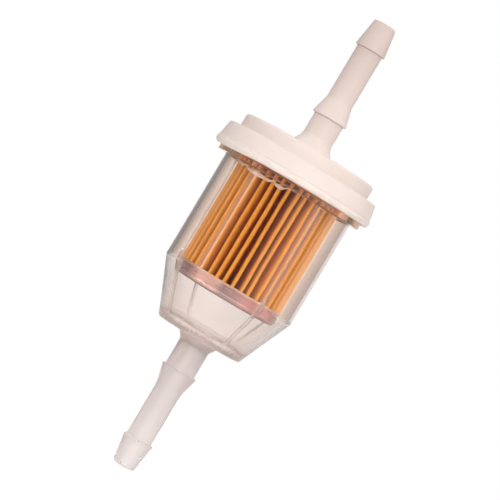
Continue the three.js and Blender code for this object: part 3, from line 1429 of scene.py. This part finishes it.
        reshape(pool, settle)
        smooth(pool, 50)
        paint(pool, finish)
        return dress(pool, Slot.ADHESIVE, "lower_potting")

    def build_upper_potting(self, finish: bpy.types.Material) -> bpy.types.Object:
        """Casts the ring that seals the pleats to the cap.

        Args:
            finish: The adhesive's material.

        Returns:
            The ring.
        """
        low, high = (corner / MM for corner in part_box("upper_potting"))
        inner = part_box("centre_tube")[1].x / MM - self.tube_wall
        corners = [
            (inner, low.z + 0.9, 0.2),
            (self.root, low.z + 0.7, 0.3),
            (high.x - 0.5, low.z + 0.75, 0.3),
            (high.x, low.z + 0.9, 0.3),
            (high.x, high.z, 0.1),
            (inner, high.z, 0.1),
        ]
        ring = turned("upper_adhesive", rounded(corners), 144)

        def settle(azimuth: float, radius: float, height: float) -> Triple:
            """Lets the underside set in low waves.

            Args:
                azimuth: A point's azimuth, in radians.
                radius: Its radius, in millimetres.
                height: Its height, in millimetres.

            Returns:
                Its new azimuth, radius and height.
            """
            under = max(0.0, (high.z - height) / (high.z - low.z))
            wave = ripple(azimuth, self.pleat_seed + 4, (5, 8, 13, 21))
            return azimuth, radius, height + 0.1 * under * wave

        reshape(ring, settle)
        smooth(ring, 50)
        paint(ring, finish)
        return dress(ring, Slot.ADHESIVE, "upper_potting")

    def build_squeeze_out(self, finish: bpy.types.Material) -> bpy.types.Object:
        """Beads of adhesive that were pressed out over the pleats' upper ends.

        Each has its azimuth and width, in degrees, and how much it adds to the ring's thickness.

        Args:
            finish: The adhesive's material.

        Returns:
            The uneven ring of beads.
        """
        low, high = (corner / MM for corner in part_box("upper_potting"))
        middle = low.z - self.squeeze_drop
        ring_radius = high.x - self.squeeze_inset
        clear_selection()
        bpy.ops.mesh.primitive_torus_add(
            major_segments=360,
            minor_segments=20,
            major_radius=ring_radius * MM,
            minor_radius=self.squeeze_radius * MM,
            location=(0, 0, middle * MM),
        )
        beads = named("adhesive_squeeze_out")
        bpy.ops.object.transform_apply(location=True, rotation=False, scale=False)

        def swell(azimuth: float, radius: float, height: float) -> Triple:
            """Thickens the ring into beads, and draws it up under the flange where it is thin.

            Args:
                azimuth: A point's azimuth, in radians.
                radius: Its radius, in millimetres.
                height: Its height, in millimetres.

            Returns:
                Its new azimuth, radius and height.
            """
            size = 0.3 + sum(tall * bulge(azimuth, centre, wide) for centre, wide, tall in self.squeezes)
            size += 0.1 * ripple(azimuth, self.pleat_seed + 5, (11, 17, 29, 41))
            rest = middle + self.squeeze_rise * (1 - min(1.0, size))
            return azimuth, ring_radius + (radius - ring_radius) * size, rest + (height - middle) * size

        reshape(beads, swell)
        smooth(beads, 60)
        paint(beads, finish)
        return dress(beads, Slot.ADHESIVE)

    def build_tube(self, finish: bpy.types.Material) -> bpy.types.Object:
        """Turns the centre tube and drills its staggered holes.

        Args:
            finish: The tube's material.

        Returns:
            The tube.
        """
        low, high = (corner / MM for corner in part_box("centre_tube"))
        corners = [
            (high.x - self.tube_wall, low.z, 0.1),
            (high.x, low.z, 0.1),
            (high.x, high.z, 0.1),
            (high.x - self.tube_wall, high.z, 0.1),
        ]
        tube = turned("perforated_tube", rounded(corners), 96)
        clear_selection()
        drills = []
        pitch = (high.z - low.z) / self.tube_rows
        for row in range(self.tube_rows):
            for hole in range(self.tube_holes):
                turn = FULL_TURN / self.tube_holes * (hole + row % 2 / 2)
                height = low.z + pitch * (row + 0.5)
                bpy.ops.mesh.primitive_cylinder_add(
                    vertices=28,
                    radius=self.tube_hole * MM,
                    depth=4 * self.tube_wall * MM,
                    location=Vector((high.x * math.cos(turn), high.x * math.sin(turn), height)) * MM,
                    rotation=(0, math.pi / 2, turn),
                )
                drills.append(bpy.context.object)
        for drill in drills:
            drill.select_set(True)
        bpy.ops.object.join()
        drill = bpy.context.object
        modify(tube, "BOOLEAN", operation="DIFFERENCE", object=drill, solver="EXACT")
        bpy.data.objects.remove(drill)
        modify(tube, "BEVEL", width=self.tube_edge * MM, segments=2, angle_limit=math.radians(50))
        smooth(tube, 40)
        paint(tube, finish)
        return dress(tube, Slot.TUBE, "centre_tube")

    def build(self) -> None:
        """Makes the whole element."""
        # The squeeze-out beads carry a painted glow that brightens them in the cap's shadow.
        adhesive = CastAdhesive(painted_glow=0.22).make()
        amber = CastAdhesive(thin=(0.66, 0.36, 0.15, 1), thick=(0.5, 0.22, 0.07, 1)).make()
        self.build_paper(FilterPaper().make())
        self.build_seam(amber)
        self.build_cup(PassivatedSteel().make())
        self.build_lower_potting(amber)
        self.build_upper_potting(amber)
        self.build_squeeze_out(adhesive)
        self.build_tube(TubePlastic().make())


# ------------------------------------------------------------------------------------------------
# Studio
# ------------------------------------------------------------------------------------------------


@dataclass(frozen=True)
class Softbox:
    """One rectangular light, placed by its bearing from the camera's side, in degrees and metres."""

    bearing: float
    elevation: float
    distance: float
    width: float
    height: float
    radiance: float
    colour: Triple = (1.0, 0.97, 0.95)

    def hang(self, name: str, target: Vector) -> None:
        """Hangs the light so that it faces the target.

        Args:
            name: The light's name.
            target: The place that it faces.
        """
        light = bpy.data.lights.new(name, "AREA")
        light.shape = "RECTANGLE"
        light.size, light.size_y = self.width, self.height
        light.color = self.colour
        light.energy = self.radiance * math.pi * self.width * self.height
        lamp = bpy.data.objects.new(name, light)
        bpy.context.scene.collection.objects.link(lamp)
        turn, rise = math.radians(self.bearing), math.radians(self.elevation)
        away = Vector((math.sin(turn) * math.cos(rise), -math.cos(turn) * math.cos(rise), math.sin(rise)))
        lamp.location = target + away * self.distance
        lamp.rotation_euler = (-away).to_track_quat("-Z", "Y").to_euler()


@dataclass
class Studio:
    """Camera, lights, backdrop and floor."""

    lean: float = 30.8026
    distance: float = 0.565
    field_width: float = 0.11111
    aim: Triple = (-0.00027, 0.0, 0.05549)
    sensor: float = 36.0
    floor_size: float = 0.6
    floor_gap: float = 0.0004
    floor_pale: Colour = (0.93, 0.93, 0.93, 1)
    floor_dull: Colour = (0.9, 0.9, 0.9, 1)
    floor_patch: float = 40.0
    floor_roughness: float = 0.35
    floor_glow: float = 0.42
    floor_side: float = 60.0
    shade_glow: float = 0.25
    floor_shade: tuple[tuple[float, float], ...] = ((0.0, 0.4), (0.42, 0.9), (0.56, 0.9), (1.0, 0.45))
    boxes: tuple[Softbox, ...] = (
        Softbox(bearing=62, elevation=0, distance=0.6, width=0.26, height=0.5, radiance=0.9),
        Softbox(bearing=-60, elevation=0, distance=0.6, width=0.1, height=0.5, radiance=1.9),
        Softbox(bearing=7, elevation=18, distance=0.7, width=0.8, height=0.13, radiance=8.8),
        Softbox(bearing=-44, elevation=19, distance=0.7, width=0.4, height=0.13, radiance=4.8),
        Softbox(bearing=72, elevation=38, distance=0.7, width=0.5, height=0.2, radiance=3.2),
        Softbox(bearing=98, elevation=0, distance=0.6, width=0.2, height=0.5, radiance=1.2),
        Softbox(bearing=-84, elevation=38, distance=0.7, width=0.5, height=0.2, radiance=2.6),
    )
    sky: Colour = (0.8, 0.8, 0.8, 1)
    sky_span: tuple[float, float] = (0.05, 0.28)
    wall_crossings: float = 3.5
    most_bounces: float = 0.5
    front: float = 0.3
    horizon: tuple[tuple[float, float], ...] = (
        (-180, 1.0),
        (-171, 0.95),
        (-162, 0.3),
        (-140, 0.3),
        (-120, 0.4),
        (-100, 0.5),
        (-80, 0.3),
        (-48, 0.2),
        (-38, 0.05),
        (0, 0.04),
        (18, 0.4),
        (30, 0.55),
        (60, 0.5),
        (95, 0.35),
        (120, 0.2),
        (138, 0.25),
        (158, 0.9),
    )

    def place_camera(self) -> None:
        """Puts the camera square on to the axis, rolled so that the filter leans to the right."""
        data = bpy.data.cameras.new("camera")
        data.sensor_width = self.sensor
        data.lens = self.sensor * self.distance / self.field_width
        data.clip_start, data.clip_end = 0.01, 50
        camera = bpy.data.objects.new("camera", data)
        bpy.context.scene.collection.objects.link(camera)
        upright = Matrix.Rotation(math.pi / 2, 4, "X")
        roll = Matrix.Rotation(math.radians(self.lean), 4, "Z")
        stand = Matrix.Translation(Vector(self.aim) - Vector((0, self.distance, 0)))
        camera.matrix_world = stand @ upright @ roll
        bpy.context.scene.camera = camera

    def light(self) -> None:
        """Hangs the softboxes and wraps the set in a pale surround, white where the camera sees it.

        From behind, the dark front of the surround is white too, where it is seen straight through both
        walls of the bowl.
        """
        for index, box in enumerate(self.boxes):
            box.hang(f"softbox_{index}", Vector(self.aim))
        world = bpy.data.worlds.new("surround")
        bpy.context.scene.world = world
        graph = Graph(world)
        east, north, up = graph.axes(graph.node("ShaderNodeTexCoord").outputs["Generated"])
        ring = [(degrees / 360 + 0.5, grey(level)) for degrees, level in self.horizon]
        around = graph.ramp(east.bearing(-1.0 * north), ring)
        low, high = self.sky_span
        rise = Value(graph, graph.ramp(up * up, [(low, BLACK), (high, WHITE)]))
        shade = graph.node("ShaderNodeBackground", None, {0: graph.between(rise, around, self.sky)})
        white = graph.node("ShaderNodeBackground", None, {0: WHITE})
        path = graph.node("ShaderNodeLightPath").outputs
        crossings, scatters, mirrors = (
            Value(graph, path[f"{kind} Depth"]) for kind in ("Transmission", "Diffuse", "Glossy")
        )
        direct = 1 - (scatters + mirrors).above(self.most_bounces)
        straight = crossings.above(self.wall_crossings) * direct
        seen = Value(graph, path["Is Camera Ray"]) + straight * (-1.0 * north).above(self.front)
        sockets = {0: seen, 1: shade.outputs[0], 2: white.outputs[0]}
        mixed = graph.node("ShaderNodeMixShader", None, sockets)
        graph.node("ShaderNodeOutputWorld", None, {0: mixed.outputs[0]})
        bpy.context.scene.view_settings.view_transform = "Standard"

    def lay_floor(self) -> None:
        """Lays the floor just under the filter's lower end.

        It is plain white where the camera sees it, and darker towards its sides where the filter
        mirrors it.
        """
        clear_selection()
        height = CAD_BOX[0].z - self.floor_gap
        bpy.ops.mesh.primitive_plane_add(size=self.floor_size, location=(0, 0, height))
        floor = named("floor")
        graph = Graph(bpy.data.materials.new("white_floor"))
        bright = graph.shader(
            Base_Color=graph.between(graph.noise(self.floor_patch), self.floor_pale, self.floor_dull),
            Roughness=self.floor_roughness,
            Emission_Color=WHITE,
            Emission_Strength=self.floor_glow,
        )
        across = graph.axes()[0].between(-self.floor_side, self.floor_side)
        dim = graph.shader(
            Base_Color=graph.ramp(across, [(place, grey(level)) for place, level in self.floor_shade]),
            Emission_Color=WHITE,
            Emission_Strength=self.shade_glow,
        )
        path = graph.node("ShaderNodeLightPath")
        sockets = {0: path.outputs["Is Camera Ray"], 1: dim, 2: bright}
        mixed = graph.node("ShaderNodeMixShader", None, sockets)
        paint(floor, graph.finish(mixed.outputs[0]))

    def build(self) -> None:
        """Sets up the whole studio."""
        self.place_camera()
        self.light()
        self.lay_floor()


def main() -> None:
    """Builds the filter and its studio."""
    logging.basicConfig(level=logging.INFO, format="%(message)s")
    ClearBowl().build()
    cap = IvoryCap()
    cap.build()
    cap.build_weld()
    PaperElement().build()
    Studio().build()


if __name__ == "__main__":
    main()
